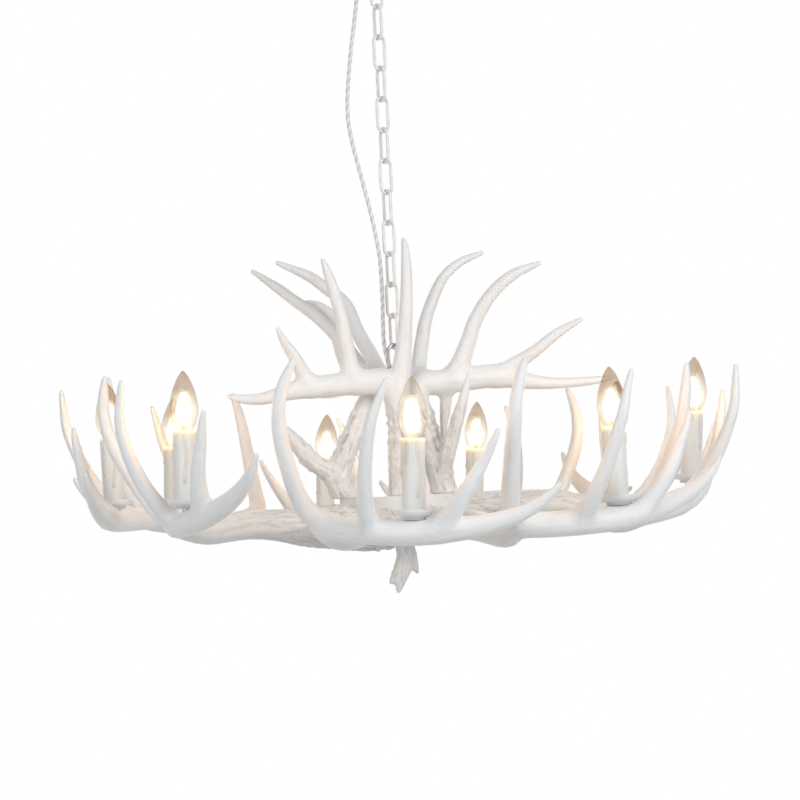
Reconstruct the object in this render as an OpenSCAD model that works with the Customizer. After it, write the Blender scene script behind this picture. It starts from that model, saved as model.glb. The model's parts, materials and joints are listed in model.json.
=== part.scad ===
// Nine-light antler chandelier: a ring of nine cast antlers, each carrying a candle lamp,
// a crown of three antlers round a centre pipe, and a chain and flex up to a ceiling canopy.
// Origin at the ceiling, on the chain's axis, +Z up. Front is -Y and the right side is +X.

/* [Ceiling fitting] */
// Outside diameter of the canopy
canopy_d = 120; // [110:1:140]
// Depth of the canopy below the ceiling
canopy_h = 26; // [24:1:26]
// Sheet thickness of the canopy
canopy_wall = 1.6; // [1:0.1:2]
// Distance between the two fixing screws
screw_spacing = 76; // [60:1:84]
// Radius of the fixing screw holes
screw_hole_r = 2.6; // [2:0.1:3.2]

/* [Chain] */
// Distance from one link to the next
link_pitch = 42; // [38:0.5:46]
// Thickness of the link wire
link_wire = 4.2; // [3.6:0.1:4.6]
// Clear width inside a link
link_gap = 12.6; // [11:0.1:14]
// Turn of the widest-looking links about the chain's axis
chain_turn = 33; // [0:1:45]

/* [Ring of lamps] */
// Radius of the circle through the lamps
lamp_circle_r = 392; // [385:1:400]
// Height of the front lamp's base below the ceiling
ring_drop = 770; // [765:1:775]
// Outside diameter of a candle sleeve
sleeve_d = 28.5; // [27:0.5:30]
// Height of a candle sleeve above its drip pan
sleeve_h = 83; // [78:1:86]
// Diameter of a drip pan
pan_d = 46.5; // [42:0.5:50]
// Largest diameter of a bulb's glass
bulb_d = 35; // [33:0.5:36]

/* [Hub] */
// Radius of the drum that the antlers' roots are screwed to
drum_r = 85; // [83:1:87]
// Outside radius of the centre pipe
pipe_r = 6.5; // [6:0.1:7]
// Height of the middle of the crown below the ceiling
crown_drop = 605; // [603:1:607]

/* [Hidden] */
$fn = 48;
eps = 0.01;

// Colours
white_resin = [0.93, 0.94, 0.95];
white_paint = [0.94, 0.94, 0.93];
ivory = [0.95, 0.92, 0.86];
steel = [0.72, 0.73, 0.75];
brass_tone = [0.80, 0.66, 0.36];
glass_tone = [0.98, 0.90, 0.72];
cord_tone = [0.82, 0.82, 0.84];
block_tone = [0.90, 0.90, 0.88];

// Levels, measured down from the ceiling
ring_z = -ring_drop;
crown_z = -crown_drop;
bearing_z = -48.5;
bearing_gap = 0.3;
lid_top_z = -755;
lid_t = 4;
drum_top_z = lid_top_z - lid_t;
drum_bottom_z = -807;
drum_wall = 3;
link_count = 12;
link_in = link_pitch + bearing_gap;
first_link_top = bearing_z + bearing_gap;
hook_top = first_link_top - link_count * link_pitch;

// How each of the nine ring antlers stands: its angle from the front, seen from above, the
// small turn and tilt that it was fixed with, and how far its lamp stands out and up.
ring_angle = [2, 40, 80, 127, 163, 197, 239, 280, 320];
turn = [1.5, -8.7, -5.5, -2, -2.5, 5.3, -0.9, -1.9, 1.3];
tilt = [-7.2, -0.2, 9.4, 4.7, -0.9, -5.4, 0.2, -2.9, 1.5];
out = [0, 10, -3, 4, -4, -8, 0, -5, 4];
lift = [-1, 3, 24, 12, -2, -10, 19, 29, 25];
root_h = [-22, -22, -4, -20, -24, -24, -12, -45, -14];
// How far each lamp stands along the ring from the middle of its antler, and how many degrees
// its candle leans to the right
lamp_shift = [-1, 1, 0, 0, 3.5, 8, -4, 0, -9];
lean = [2, -1, 4.5, 3, 4.5, 4, 3, -0.7, 1.5];
// The antler whose root runs on under the drum
low_root = 7;
// The root lies this many degrees behind the lamp, round the ring
root_lag = 17;

// The moulding that all nine share. Each point is its place along the ring, its place outward,
// its height over the lamp's base and the radius there.
beam = [
    [-88, -105, -39, 17.5], [-103, -72, -30, 16.5], [-78, -46, -31, 15.5], [-45, -20, -30, 15.5],
    [0, 0, -27, 15.5], [40, 12, -21, 14.5], [80, 22, -12, 12.5], [118, 32, 3, 9.5], [146, 40, 22, 6.5],
    [162, 45, 41, 3.4]
];
tine_long = [
    [-103, -71, -26, 14.5], [-128, -63, -11, 12.5], [-142, -51, 12, 10.8], [-152, -40, 37, 10],
    [-161, -29, 64, 9.5], [-167, -20, 92, 8.7], [-167, -15, 119, 7.8], [-162, -12, 142, 6.4],
    [-155, -10, 161, 3.8]
];
tine_middle = [
    [-50, -18, -26, 13], [-57, 6, -1, 10.2], [-61, 32, 38, 8.6], [-59, 53, 89, 7], [-51, 58, 123, 5.2],
    [-44, 60, 145, 3.2]
];
tine_short = [
    [29, 11, -20, 13], [44, 27, 2, 10.8], [58, 40, 29, 9], [72, 46, 58, 7], [82, 51, 82, 4.9],
    [87, 52, 97, 3.1]
];

// The crown's antlers. Each point is x, y, height over the middle of the crown, and radius.
crown_left = [
    [
        [-2, -31, -154, 18], [-2, -31, -140, 16], [-2, -32, -112, 14], [0, -32, -60, 14],
        [0, -31, -22, 16.5], [-14, -32, 2, 18], [-40, -36, 4, 17], [-72, -42, 3, 15.5],
        [-126, -51, -1, 13.5], [-152, -56, -6, 10.5], [-180, -60, -12, 7.8], [-205, -63, -11, 6.2],
        [-222, -65, -7, 3.4]
    ],
    [
        [2, -32, -4, 15], [9, -38, 26, 12.5], [15, -45, 70, 9.8], [19, -50, 110, 8.6],
        [21, -52, 150, 7.3], [21, -51, 176, 5.6], [19.5, -50, 190, 3.4]
    ],
    [
        [-52, -39, 4, 14], [-61, -43, 26, 12], [-65, -52, 62, 9.8], [-70, -58, 96, 8.8],
        [-79, -63, 135, 7.3], [-85, -65, 155, 5.4], [-89, -66, 167, 3.2]
    ],
    [
        [-112, -49, 1, 12], [-122, -55, 16, 10.5], [-133, -67, 40, 8.3], [-145, -78, 61, 6], [-152, -85, 77, 3.2]
    ]
];
crown_right = [
    [
        [60, 8, -154, 19], [56, 7, -140, 17], [50, 5, -112, 16], [37, 2, -62, 16.5],
        [25, 2, -20, 18], [32, 5, 1, 18], [52, 9, 1, 17], [76, 14, 3, 16.5], [128, 24, 7, 16],
        [160, 31, 3, 13.5], [188, 38, -3, 10], [220, 45, -6, 7.6], [268, 55, -5, 6], [300, 60, -1, 3]
    ],
    [
        [31, 12, 10, 12], [33, 28, 32, 10.4], [43, 48, 84, 9.2], [57, 59, 121, 8.2],
        [73, 65, 150, 7.2], [97, 70, 170, 6], [128, 75, 182, 3.4]
    ],
    [
        [78, 14, 8, 15], [89, 13, 28, 13], [100, 10, 54, 11], [112, 5, 84, 10], [136, 0, 118, 8.8],
        [166, 0, 142, 7.6], [201, 0, 155, 3.6]
    ],
    [
        [138, 27, 6, 13], [158, 26, 19, 10.5], [190, 20, 37, 8.4], [222, 15, 60, 7], [255, 10, 77, 3.2]
    ],
    [
        [55, 4, -132, 12], [61, -13, -108, 10.5], [67, -24, -88, 9.6], [76, -31, -62, 8.6],
        [86, -36, -32, 7], [98, -40, 9, 3]
    ],
    [[67, 14, -6, 9.5], [66, 18, -24, 8], [63, 20, -50, 5.8], [60, 20, -77, 2.8]]
];
crown_rear = [
    [
        [-72, -16, -154, 19], [-80, -18, -140, 18], [-85, -20, -118, 16.5], [-73, -20, -88, 15],
        [-61, -16, -65, 14.5], [-49, -10, -39, 14.5], [-38, 0, -19, 15], [-26, 12, 0, 16], [-17, 27, 8, 16], [-30, 50, 14, 15], [-48, 82, 14, 14],
        [-72, 124, 8, 12], [-98, 166, 4, 9.5], [-120, 204, 6, 6.5], [-132, 226, 12, 3]
    ],
    [
        [-22, 32, 12, 13], [-31, 50, 40, 11], [-50, 74, 80, 10], [-66, 94, 122, 9.4],
        [-94, 111, 149, 8.4], [-118, 122, 168, 7.4], [-160, 130, 189, 3.6]
    ],
    [
        [-38, 64, 16, 13], [-54, 80, 38, 11.5], [-77, 105, 75, 10], [-108, 134, 110, 9],
        [-139, 155, 136, 8], [-166, 168, 159, 7], [-199, 180, 184, 3.6]
    ],
    [
        [-60, 103, 12, 11], [-76, 122, 60, 9.5], [-87, 150, 106, 9], [-104, 163, 125, 8.5], [-123, 178, 134, 5]
    ],
    [
        [-80, -18, -124, 14], [-102, -25, -110, 12.5], [-120, -30, -95, 11.5], [-134, -34, -78, 10.5],
        [-146, -37, -62, 7.5], [-157, -40, -47, 3.5]
    ]
];

// The finial, a small antler hanging point down. Heights are over the drum's bottom.
finial_spines = [
    [
        [0, 0, -6.5, 11.5], [0, 0, -20, 11.5], [1, -1, -32, 11], [-3, -3, -48, 9.5],
        [-9, -6, -64, 6.5], [-12, -8, -78, 2]
    ],
    [[-3, -2, -40, 8], [-12, -5, -53, 6.2], [-22, -8, -64, 2.2]],
    [[3, 3, -22, 8], [9, 6, -38, 6.5], [15, 9, -54, 2]]
];

// The flex hangs free beside the chain, from the canopy down to the crown's collar.
cord_r = 2.75;
cord_route = [
    [-25, 0, -12], [-25, 0, -40], [-26, -1, -70], [-31, -3, -105], [-37, -4, -140], [-42, -6, -175],
    [-46, -7, -210], [-47, -8, -244], [-42, -9, -280], [-34, -10, -318], [-26, -11, -356], [-19, -12, -394],
    [-14, -12, -434], [-13, -12, -480], [-14, -12, -520], [-14, -13, -548], [-12, -14, -564],
    [-9.5, -11, -578], [-9, -8, -587], [-9, -8, -597]
];

function unit(v) = v / norm(v);
function place_of(q) = [q[0], q[1], q[2]];

// A smooth curve through the points of a route, with the given number of steps between them
function between(a, b, c, d, t) =
    0.5 * (2 * b + (c - a) * t + (2 * a - 5 * b + 4 * c - d) * t * t + (3 * b - a - 3 * c + d) * t * t * t);
function smooth(p, steps) = concat(
    [
        for (i = [0 : len(p) - 2], k = [0 : steps - 1])
        between(p[max(i - 1, 0)], p[i], p[i + 1], p[min(i + 2, len(p) - 1)], k / steps)
    ],
    [p[len(p) - 1]]
);
function heading(p, i) = unit(place_of(p[min(i + 1, len(p) - 1)]) - place_of(p[max(i - 1, 0)]));
// A side direction at each point of the route, carried along it without a twist
function carried(p, s, i = 0) =
    i >= len(p) ? [] :
    let (h = heading(p, i), n = unit(s - (s * h) * h))
    concat([n], carried(p, n, i + 1));
function first_side(h) = abs(h[2]) < 0.8 ? cross(h, [0, 0, 1]) : cross(h, [0, 1, 0]);

// A round body swept along a route whose points carry their own radius
module swept(p, sides = 8) {
    side = carried(p, unit(first_side(heading(p, 0))));
    last = (len(p) - 1) * sides;
    points = [
        for (i = [0 : len(p) - 1], k = [0 : sides - 1])
        let (u = side[i], v = cross(heading(p, i), u), a = 360 * k / sides)
        place_of(p[i]) + p[i][3] * (cos(a) * u + sin(a) * v)
    ];
    walls = [
        for (i = [0 : len(p) - 2], k = [0 : sides - 1])
        let (a = i * sides + k, b = i * sides + (k + 1) % sides)
        each [[a, a + sides, b + sides], [a, b + sides, b]]
    ];
    near_end = [[for (k = [0 : sides - 1]) k]];
    far_end = [[for (k = [sides - 1 : -1 : 0]) last + k]];
    polyhedron(points, concat(walls, near_end, far_end));
}

// Where a point of the shared moulding comes on antler i
function on_ring(i, q) =
    let (
        t1 = q[0] * cos(tilt[i]) - q[2] * sin(tilt[i]),
        h = q[0] * sin(tilt[i]) + q[2] * cos(tilt[i]),
        t = t1 * cos(turn[i]) - q[1] * sin(turn[i]),
        r = lamp_circle_r + out[i] + t1 * sin(turn[i]) + q[1] * cos(turn[i]),
        a = ring_angle[i]
    )
    [r * sin(a) + t * cos(a), -r * cos(a) + t * sin(a), ring_z + lift[i] + h, q[3]];
// A point of the trunk, straight out from the hub
function on_trunk(i, r, h, radius) =
    let (a = ring_angle[i] - root_lag)
    [r * sin(a), -r * cos(a), ring_z + h, radius];
function trunk(i) =
    i == low_root
    ? [
        on_trunk(i, 20, root_h[i], 11), on_trunk(i, 60, root_h[i], 11.5),
        on_trunk(i, 130, root_h[i] + 12, 15.5), on_trunk(i, 176, -20, 17), on_trunk(i, 235, -14, 17.5)
    ]
    : [
        on_trunk(i, drum_r - 5, root_h[i], 19.5), on_trunk(i, drum_r + 6, root_h[i], 20),
        on_trunk(i, drum_r + 18, root_h[i], 17.5), on_trunk(i, 160, root_h[i], 18.5),
        on_trunk(i, 240, (root_h[i] + lift[i] - 36) / 2, 18)
    ];

module at_lamp(i) {
    r = lamp_circle_r + out[i];
    a = ring_angle[i];
    translate([r * sin(a) + lamp_shift[i] * cos(a), -r * cos(a) + lamp_shift[i] * sin(a), ring_z + lift[i]])
    rotate([0, lean[i], 0])
    children();
}

module all_lamps() {
    for (i = [0 : 8])
    at_lamp(i)
    children();
}

// Levels in a lamp, over its base
seat_h = -12;
pan_floor_h = -4.5;
pan_under_h = -8.5;
socket_floor_h = 44;
holder_top_h = 76;
bulb_base_h = 54;
bulb_tip_h = sleeve_h + 72;
nipple_r = 4.95;
nipple_hole_r = 5.05;
screw_r = 2.5;
screw_bore_r = 2.55;
screw_head_gap = 0.2;

module ring_antler(i) {
    color(white_resin)
    difference() {
        union() {
            swept(concat(trunk(i), [for (q = smooth(beam, 1)) on_ring(i, q)]));
            swept([for (q = tine_long) on_ring(i, q)]);
            swept([for (q = tine_middle) on_ring(i, q)]);
            swept([for (q = tine_short) on_ring(i, q)]);
        }
        drum_space();
        at_lamp(i) {
            translate([0, 0, seat_h])
            cylinder(r = 17, h = 40);
            translate([0, 0, pan_under_h - 0.3])
            cylinder(r = pan_d / 2 + 0.4, h = 20);
            translate([0, 0, seat_h - 22])
            cylinder(r = nipple_hole_r, h = 30);
        }
        root_screw_bore(i);
    }
}

// What the roots are cut back from: the drum, and the finial's stem under it
module drum_space() {
    translate([0, 0, drum_bottom_z])
    cylinder(r = drum_r, h = drum_top_z - drum_bottom_z + 40);
    translate([0, 0, drum_bottom_z - 40])
    cylinder(r = 15, h = 41);
}

module root_screw_bore(i) {
    if (i == low_root)
    low_screw_place()
    translate([0, 0, -18])
    cylinder(r = screw_bore_r, h = 19);
    else
    root_screw_place(i)
    cylinder(r = screw_bore_r, h = 24);
}

// Stands at the drum's wall, looking outward along the root
module root_screw_place(i) {
    a = ring_angle[i] - root_lag;
    r = drum_r - drum_wall - screw_head_gap;
    translate([r * sin(a), -r * cos(a), ring_z + root_h[i]])
    rotate([0, 90, a - 90])
    children();
}

// Stands at the drum's bottom over the low root
module low_screw_place() {
    a = ring_angle[low_root] - root_lag;
    translate([50 * sin(a), -50 * cos(a), drum_bottom_z])
    children();
}

module crown_antler(spines) {
    color(white_resin)
    difference() {
        union()
        for (s = spines)
        translate([0, 0, crown_z])
        swept(s);
        translate([0, 0, lid_top_z - 30])
        cylinder(r = drum_r + 20, h = 30);
        translate([0, 0, collar_bottom_z])
        cylinder(r = collar_r, h = collar_h);
        crown_screw_place(spines)
        cylinder(r = screw_bore_r, h = 24);
    }
}

// Stands on the lid under a crown antler's root
module crown_screw_place(spines) {
    foot = spines[0][0];
    translate([foot[0], foot[1], lid_top_z])
    children();
}

collar_r = 16;
collar_h = 36;
collar_bottom_z = crown_z - 18;
collar_top_z = collar_bottom_z + collar_h;
cord_hole_r = 3.1;
cord_end = cord_route[len(cord_route) - 1];

module crown_collar() {
    color(white_paint)
    difference() {
        translate([0, 0, collar_bottom_z])
        cylinder(r = collar_r, h = collar_h);
        translate([0, 0, collar_bottom_z - 1])
        cylinder(r = pipe_r + 0.05, h = collar_h + 2);
        translate([cord_end[0], cord_end[1], cord_end[2]])
        cylinder(r = cord_hole_r, h = 20);
    }
}

pipe_bottom_z = drum_bottom_z - 18;
pipe_bore_r = 5;

module centre_pipe() {
    color(steel)
    translate([0, 0, pipe_bottom_z])
    difference() {
        cylinder(r = pipe_r, h = collar_top_z - pipe_bottom_z);
        translate([0, 0, -1])
        cylinder(r = pipe_bore_r, h = collar_top_z - pipe_bottom_z + 2);
    }
}

// The upright and level holes that the roots' screws pass through
module hub_lid() {
    color(white_paint)
    difference() {
        translate([0, 0, drum_top_z])
        cylinder(r = drum_r, h = lid_t);
        translate([0, 0, drum_top_z - 1])
        cylinder(r = pipe_r + 0.05, h = lid_t + 2);
        for (s = [crown_left, crown_right, crown_rear])
        crown_screw_place(s)
        translate([0, 0, -lid_t - 1])
        cylinder(r = screw_r + 0.3, h = lid_t + 2);
    }
}

module hub_drum() {
    color(white_paint)
    difference() {
        translate([0, 0, drum_bottom_z])
        cylinder(r = drum_r, h = drum_top_z - drum_bottom_z);
        translate([0, 0, drum_bottom_z + drum_wall])
        cylinder(r = drum_r - drum_wall, h = drum_top_z - drum_bottom_z);
        translate([0, 0, drum_bottom_z - 1])
        cylinder(r = pipe_r + 0.05, h = drum_wall + 2);
        for (i = [0 : 8])
        if (i != low_root)
        root_screw_place(i)
        translate([0, 0, -1])
        cylinder(r = screw_r + 0.3, h = drum_wall + 2);
        low_screw_place()
        translate([0, 0, -1])
        cylinder(r = screw_r + 0.3, h = drum_wall + 2);
    }
}

// A pan-head screw, its head's seat at the origin and its shank along +Z
module screw(length) {
    translate([0, 0, -3])
    cylinder(r = 4.8, h = 3);
    translate([0, 0, -eps])
    cylinder(r = screw_r, h = length + eps);
}

module hub_screws() {
    color(steel) {
        for (i = [0 : 8])
        if (i != low_root)
        root_screw_place(i)
        screw(22);
        low_screw_place()
        translate([0, 0, drum_wall])
        mirror([0, 0, 1])
        screw(18);
        for (s = [crown_left, crown_right, crown_rear])
        crown_screw_place(s)
        translate([0, 0, -lid_t])
        screw(24);
    }
}

module pipe_nut() {
    color(steel)
    translate([0, 0, drum_bottom_z - 6])
    difference() {
        cylinder(r = 11, h = 6, $fn = 6);
        translate([0, 0, -1])
        cylinder(r = pipe_r + 0.05, h = 8);
    }
}

module junction_block() {
    block = [44, 18, 14];
    color(block_tone)
    difference() {
        translate([14, -30, drum_bottom_z + drum_wall])
        cube(block);
        for (k = [0 : 2])
        translate([22 + 14 * k, -21, drum_bottom_z + drum_wall + 4])
        cylinder(r = 3, h = 11);
    }
}

module finial() {
    color(white_resin)
    difference() {
        union()
        for (s = finial_spines)
        translate([0, 0, drum_bottom_z])
        swept(s);
        translate([0, 0, pipe_bottom_z - 1])
        cylinder(r = pipe_r + 0.05, h = 30);
    }
}

// The lamp, from the seat up
module drip_pans() {
    rim_r = pan_d / 2;
    color(white_paint)
    all_lamps()
    rotate_extrude()
    polygon([
        [nipple_hole_r, seat_h], [sleeve_d / 2, seat_h], [sleeve_d / 2, pan_under_h], [rim_r - 3.5, -7.5],
        [rim_r - 0.8, -5], [rim_r, -1], [rim_r - 0.4, 0], [rim_r - 1.3, 0], [rim_r - 2.2, -3.6],
        [rim_r - 4, pan_floor_h], [nipple_hole_r, pan_floor_h]
    ]);
}

module lamp_nipples() {
    color(steel)
    all_lamps()
    translate([0, 0, seat_h - 20])
    difference() {
        cylinder(r = nipple_r, h = 38);
        translate([0, 0, -1])
        cylinder(r = nipple_r - 1.2, h = 40);
    }
}

module lampholder(i) {
    color(ivory)
    at_lamp(i)
    difference() {
        translate([0, 0, pan_floor_h])
        cylinder(r = 12.5, h = holder_top_h - pan_floor_h);
        translate([0, 0, pan_floor_h - 1])
        cylinder(r = nipple_hole_r, h = 14);
        translate([0, 0, socket_floor_h])
        cylinder(r = 7.7, h = 40);
    }
}

// The lampholders of the three front and two side lamps
module lampholders_front() {
    for (i = [0, 1, 2, 7, 8])
    lampholder(i);
}

// A paper-thin candle tube with a rolled top edge
module candle_sleeves() {
    r = sleeve_d / 2;
    color(ivory)
    all_lamps()
    rotate_extrude()
    polygon([
        [r, pan_floor_h], [r, sleeve_h - 4], [r + 0.5, sleeve_h - 2.5], [r + 0.4, sleeve_h - 0.6],
        [r - 0.3, sleeve_h], [r - 1.2, sleeve_h - 0.4], [r - 1.3, sleeve_h - 2], [r - 1.3, pan_floor_h]
    ]);
}

// Half of the flame-shaped glass, from its neck to its tip: radius and height over the lamp's base
bulb_k = bulb_d / 35;
bulb_outline = smooth([
    [7.2, bulb_tip_h - 74], [10.5 * bulb_k, bulb_tip_h - 70], [15 * bulb_k, bulb_tip_h - 62],
    [17.5 * bulb_k, bulb_tip_h - 51], [17.2 * bulb_k, bulb_tip_h - 40], [15 * bulb_k, bulb_tip_h - 28],
    [11.2 * bulb_k, bulb_tip_h - 17], [6.6 * bulb_k, bulb_tip_h - 7], [2.9, bulb_tip_h - 2],
    [1.7, bulb_tip_h]
], 2);
glass_wall = 0.8;

module bulb(i) {
    inside = [for (q = bulb_outline) if (q[0] > 4 && q[0] > 7.2 - eps) [q[0] - glass_wall, q[1] + 0.4]];
    color(glass_tone)
    at_lamp(i)
    rotate_extrude()
    polygon(concat(
        [[1.2, bulb_base_h], [3, bulb_base_h], [6.9, bulb_base_h + 3], [6.9, bulb_base_h + 24]],
        bulb_outline,
        [[0, bulb_tip_h], [0, bulb_tip_h - 9]],
        [for (k = [len(inside) - 1 : -1 : 0]) inside[k]],
        [[1.2, bulb_tip_h - 73]]
    ));
}

// A welded chain link, its inner top at the origin, hanging down in the XZ plane
module long_loop(inside_h, inside_w, wire) {
    mid_r = (inside_w + wire) / 2;
    leg = inside_h - inside_w;
    translate([0, 0, -inside_w / 2]) {
        rotate([90, 0, 0])
        rotate_extrude(angle = 180)
        translate([mid_r, 0])
        circle(d = wire);
        translate([0, 0, -leg])
        rotate([-90, 0, 0])
        rotate_extrude(angle = 180)
        translate([mid_r, 0])
        circle(d = wire);
        for (side = [-1, 1])
        translate([side * mid_r, 0, -leg])
        cylinder(d = wire, h = leg);
    }
}

module chain_link(k) {
    color(white_paint)
    translate([0, 0, first_link_top - k * link_pitch])
    rotate([0, 0, chain_turn + 90 * (k % 2)])
    long_loop(link_in, link_gap, link_wire);
}

hook_wire = 5;
hook_gap = 17;
hook_in = 28;

module hook_loop() {
    color(steel) {
        translate([0, 0, hook_top])
        rotate([0, 0, chain_turn])
        long_loop(hook_in, hook_gap, hook_wire);
        translate([0, 0, collar_top_z])
        cylinder(r = 8.5, h = 2.6);
        translate([0, 0, collar_top_z - 14])
        cylinder(r = pipe_bore_r - 0.05, h = 14.5);
    }
}

module power_cord() {
    color(cord_tone)
    swept([for (q = smooth(cord_route, 2)) [q[0], q[1], q[2], cord_r]]);
}

// The ceiling fitting
bracket_t = 3;
flange_z = -canopy_h - 3;
loop_wire = 4.6;
loop_gap = 14;

module ceiling_bracket() {
    color(steel)
    difference() {
        translate([-52, -11, -bracket_t])
        cube([104, 22, bracket_t]);
        for (side = [-1, 1])
        translate([side * screw_spacing / 2, 0, -bracket_t - 1])
        cylinder(r = screw_hole_r, h = bracket_t + 2);
        translate([0, 0, -bracket_t - 1])
        cylinder(r = nipple_hole_r, h = bracket_t + 2);
    }
}

module bracket_nipple() {
    color(steel)
    translate([0, 0, flange_z - 5])
    difference() {
        cylinder(r = nipple_r, h = -flange_z + 4);
        translate([0, 0, -1])
        cylinder(r = nipple_r - 1.2, h = -flange_z + 6);
    }
}

module lock_nut() {
    color(steel)
    translate([0, 0, -bracket_t - 5])
    difference() {
        cylinder(r = 9.8, h = 5, $fn = 6);
        translate([0, 0, -1])
        cylinder(r = nipple_hole_r, h = 7);
    }
}

module terminal_block() {
    color(block_tone)
    difference() {
        translate([12, -8, -bracket_t - 11])
        cube([20, 16, 11]);
        for (side = [-1, 1])
        translate([22 + side * 5, 0, -bracket_t - 12])
        cylinder(r = 2, h = 9);
    }
}

cord_x = cord_route[0][0];
grommet_hole_r = 10.5;
grommet_bore_r = 9.5;

module canopy() {
    r = canopy_d / 2;
    outer = smooth([[r, 0], [r, -6], [r - 3, -13], [r - 9, -19], [r - 20, -canopy_h]], 3);
    inner = [for (k = [len(outer) - 1 : -1 : 0]) outer[k] + [-canopy_wall, 0]];
    color(white_paint)
    difference() {
        rotate_extrude()
        polygon(concat(
            outer,
            [[nipple_hole_r, -canopy_h], [nipple_hole_r, -canopy_h + canopy_wall]],
            [for (q = inner) [q[0], min(max(q[1], -canopy_h + canopy_wall), 0)]]
        ));
        translate([cord_x, 0, -canopy_h - 1])
        cylinder(r = grommet_hole_r, h = 4);
    }
}

module cord_grommet() {
    low = -canopy_h;
    high = -canopy_h + canopy_wall;
    color(block_tone)
    translate([cord_x, 0, 0])
    rotate_extrude()
    polygon([
        [grommet_bore_r, low - 2], [grommet_hole_r + 1.5, low - 2], [grommet_hole_r + 1.5, low],
        [grommet_hole_r, low], [grommet_hole_r, high], [grommet_hole_r + 1.5, high],
        [grommet_hole_r + 1.5, high + 1.8], [grommet_bore_r, high + 1.8]
    ]);
}

module canopy_loop() {
    top = bearing_z + 14;
    color(white_paint)
    difference() {
        union() {
            translate([0, 0, flange_z])
            cylinder(r = 10.5, h = 3);
            translate([0, 0, flange_z - 6])
            cylinder(r = 9.5, h = 6);
            rotate([0, 0, chain_turn + 90]) {
                translate([0, 0, bearing_z + loop_gap / 2])
                rotate([-90, 0, 0])
                rotate_extrude(angle = 180)
                translate([(loop_gap + loop_wire) / 2, 0])
                circle(d = loop_wire);
                for (side = [-1, 1])
                translate([side * (loop_gap + loop_wire) / 2, 0, bearing_z + loop_gap / 2])
                cylinder(d = loop_wire, h = flange_z - 3 - bearing_z - loop_gap / 2);
            }
        }
        translate([0, 0, flange_z - 5])
        cylinder(r = nipple_hole_r, h = 20);
    }
}

ceiling_bracket();
bracket_nipple();
lock_nut();
terminal_block();
canopy();
cord_grommet();
canopy_loop();
chain_link(0);  // chain_link_01
chain_link(1);  // chain_link_02
chain_link(2);  // chain_link_03
chain_link(3);  // chain_link_04
chain_link(4);  // chain_link_05
chain_link(5);  // chain_link_06
chain_link(6);  // chain_link_07
chain_link(7);  // chain_link_08
chain_link(8);  // chain_link_09
chain_link(9);  // chain_link_10
chain_link(10);  // chain_link_11
chain_link(11);  // chain_link_12
hook_loop();
power_cord();
centre_pipe();
crown_collar();
hub_lid();
hub_drum();
pipe_nut();
junction_block();
hub_screws();
crown_antler(crown_left);  // crown_antler_left
crown_antler(crown_right);  // crown_antler_right
crown_antler(crown_rear);  // crown_antler_rear
ring_antler(0);  // ring_antler_1
ring_antler(1);  // ring_antler_2
ring_antler(2);  // ring_antler_3
ring_antler(3);  // ring_antler_4
ring_antler(4);  // ring_antler_5
ring_antler(5);  // ring_antler_6
ring_antler(6);  // ring_antler_7
ring_antler(7);  // ring_antler_8
ring_antler(8);  // ring_antler_9
finial();
drip_pans();
lamp_nipples();
lampholders_front();
lampholder(3);  // lampholder_4
lampholder(4);  // lampholder_5
lampholder(5);  // lampholder_6
lampholder(6);  // lampholder_7
candle_sleeves();
bulb(0);  // bulb_1
bulb(1);  // bulb_2
bulb(2);  // bulb_3
bulb(3);  // bulb_4
bulb(4);  // bulb_5
bulb(5);  // bulb_6
bulb(6);  // bulb_7
bulb(7);  // bulb_8
bulb(8);  // bulb_9
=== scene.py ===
"""The look of a nine-light antler chandelier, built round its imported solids.

The frame's origin is on the ceiling on the chain's axis, +Z up, -Y toward the camera. The shapes
below are listed in millimetres, as the part's source lists them, and are turned into metres when
a mesh is made.
"""

import json
import math

import bpy
import numpy as np
from mathutils import Matrix, Vector


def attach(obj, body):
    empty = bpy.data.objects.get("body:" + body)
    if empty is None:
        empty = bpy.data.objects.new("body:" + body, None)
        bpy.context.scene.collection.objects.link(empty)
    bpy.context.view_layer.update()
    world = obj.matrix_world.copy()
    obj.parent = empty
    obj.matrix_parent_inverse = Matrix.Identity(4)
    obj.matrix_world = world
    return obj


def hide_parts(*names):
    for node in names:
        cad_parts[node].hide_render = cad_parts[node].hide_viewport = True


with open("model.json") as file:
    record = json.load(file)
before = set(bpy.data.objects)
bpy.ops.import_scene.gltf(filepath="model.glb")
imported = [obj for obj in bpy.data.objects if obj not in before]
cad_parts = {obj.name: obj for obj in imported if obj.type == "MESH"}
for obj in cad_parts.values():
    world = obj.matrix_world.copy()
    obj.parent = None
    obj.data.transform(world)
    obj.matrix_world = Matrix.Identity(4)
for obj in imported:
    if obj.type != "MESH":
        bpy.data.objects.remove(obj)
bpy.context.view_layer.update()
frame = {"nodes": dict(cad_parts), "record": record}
scene = bpy.context.scene
scene.view_settings.view_transform = "Standard"
MM = 0.001

# The camera, solved from the nine lamps

CAMERA_Y = -2.744
CAMERA_Z = -0.749
CAMERA_ROLL = 2.95
LENS = 91.0
SHIFT = (-0.0025, 0.114)


def add_camera():
    data = bpy.data.cameras.new("camera")
    data.sensor_width = 36.0
    data.lens = LENS
    data.shift_x, data.shift_y = SHIFT
    data.clip_end = 60.0
    cam = bpy.data.objects.new("camera", data)
    cam.matrix_world = (
        Matrix.Translation((0, CAMERA_Y, CAMERA_Z))
        @ Matrix.Rotation(math.radians(90), 4, "X")
        @ Matrix.Rotation(math.radians(-CAMERA_ROLL), 4, "Z")
    )
    scene.collection.objects.link(cam)
    scene.camera = cam


add_camera()

# Numbers shared with the solids, in millimetres and degrees

RING_Z = -770
CROWN_Z = -605
LAMP_CIRCLE_R = 392
DRUM_R = 85
DRUM_BOTTOM = -807
LID_TOP = -755
ROOT_LAG = 17
LOW_ROOT = 7

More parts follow.
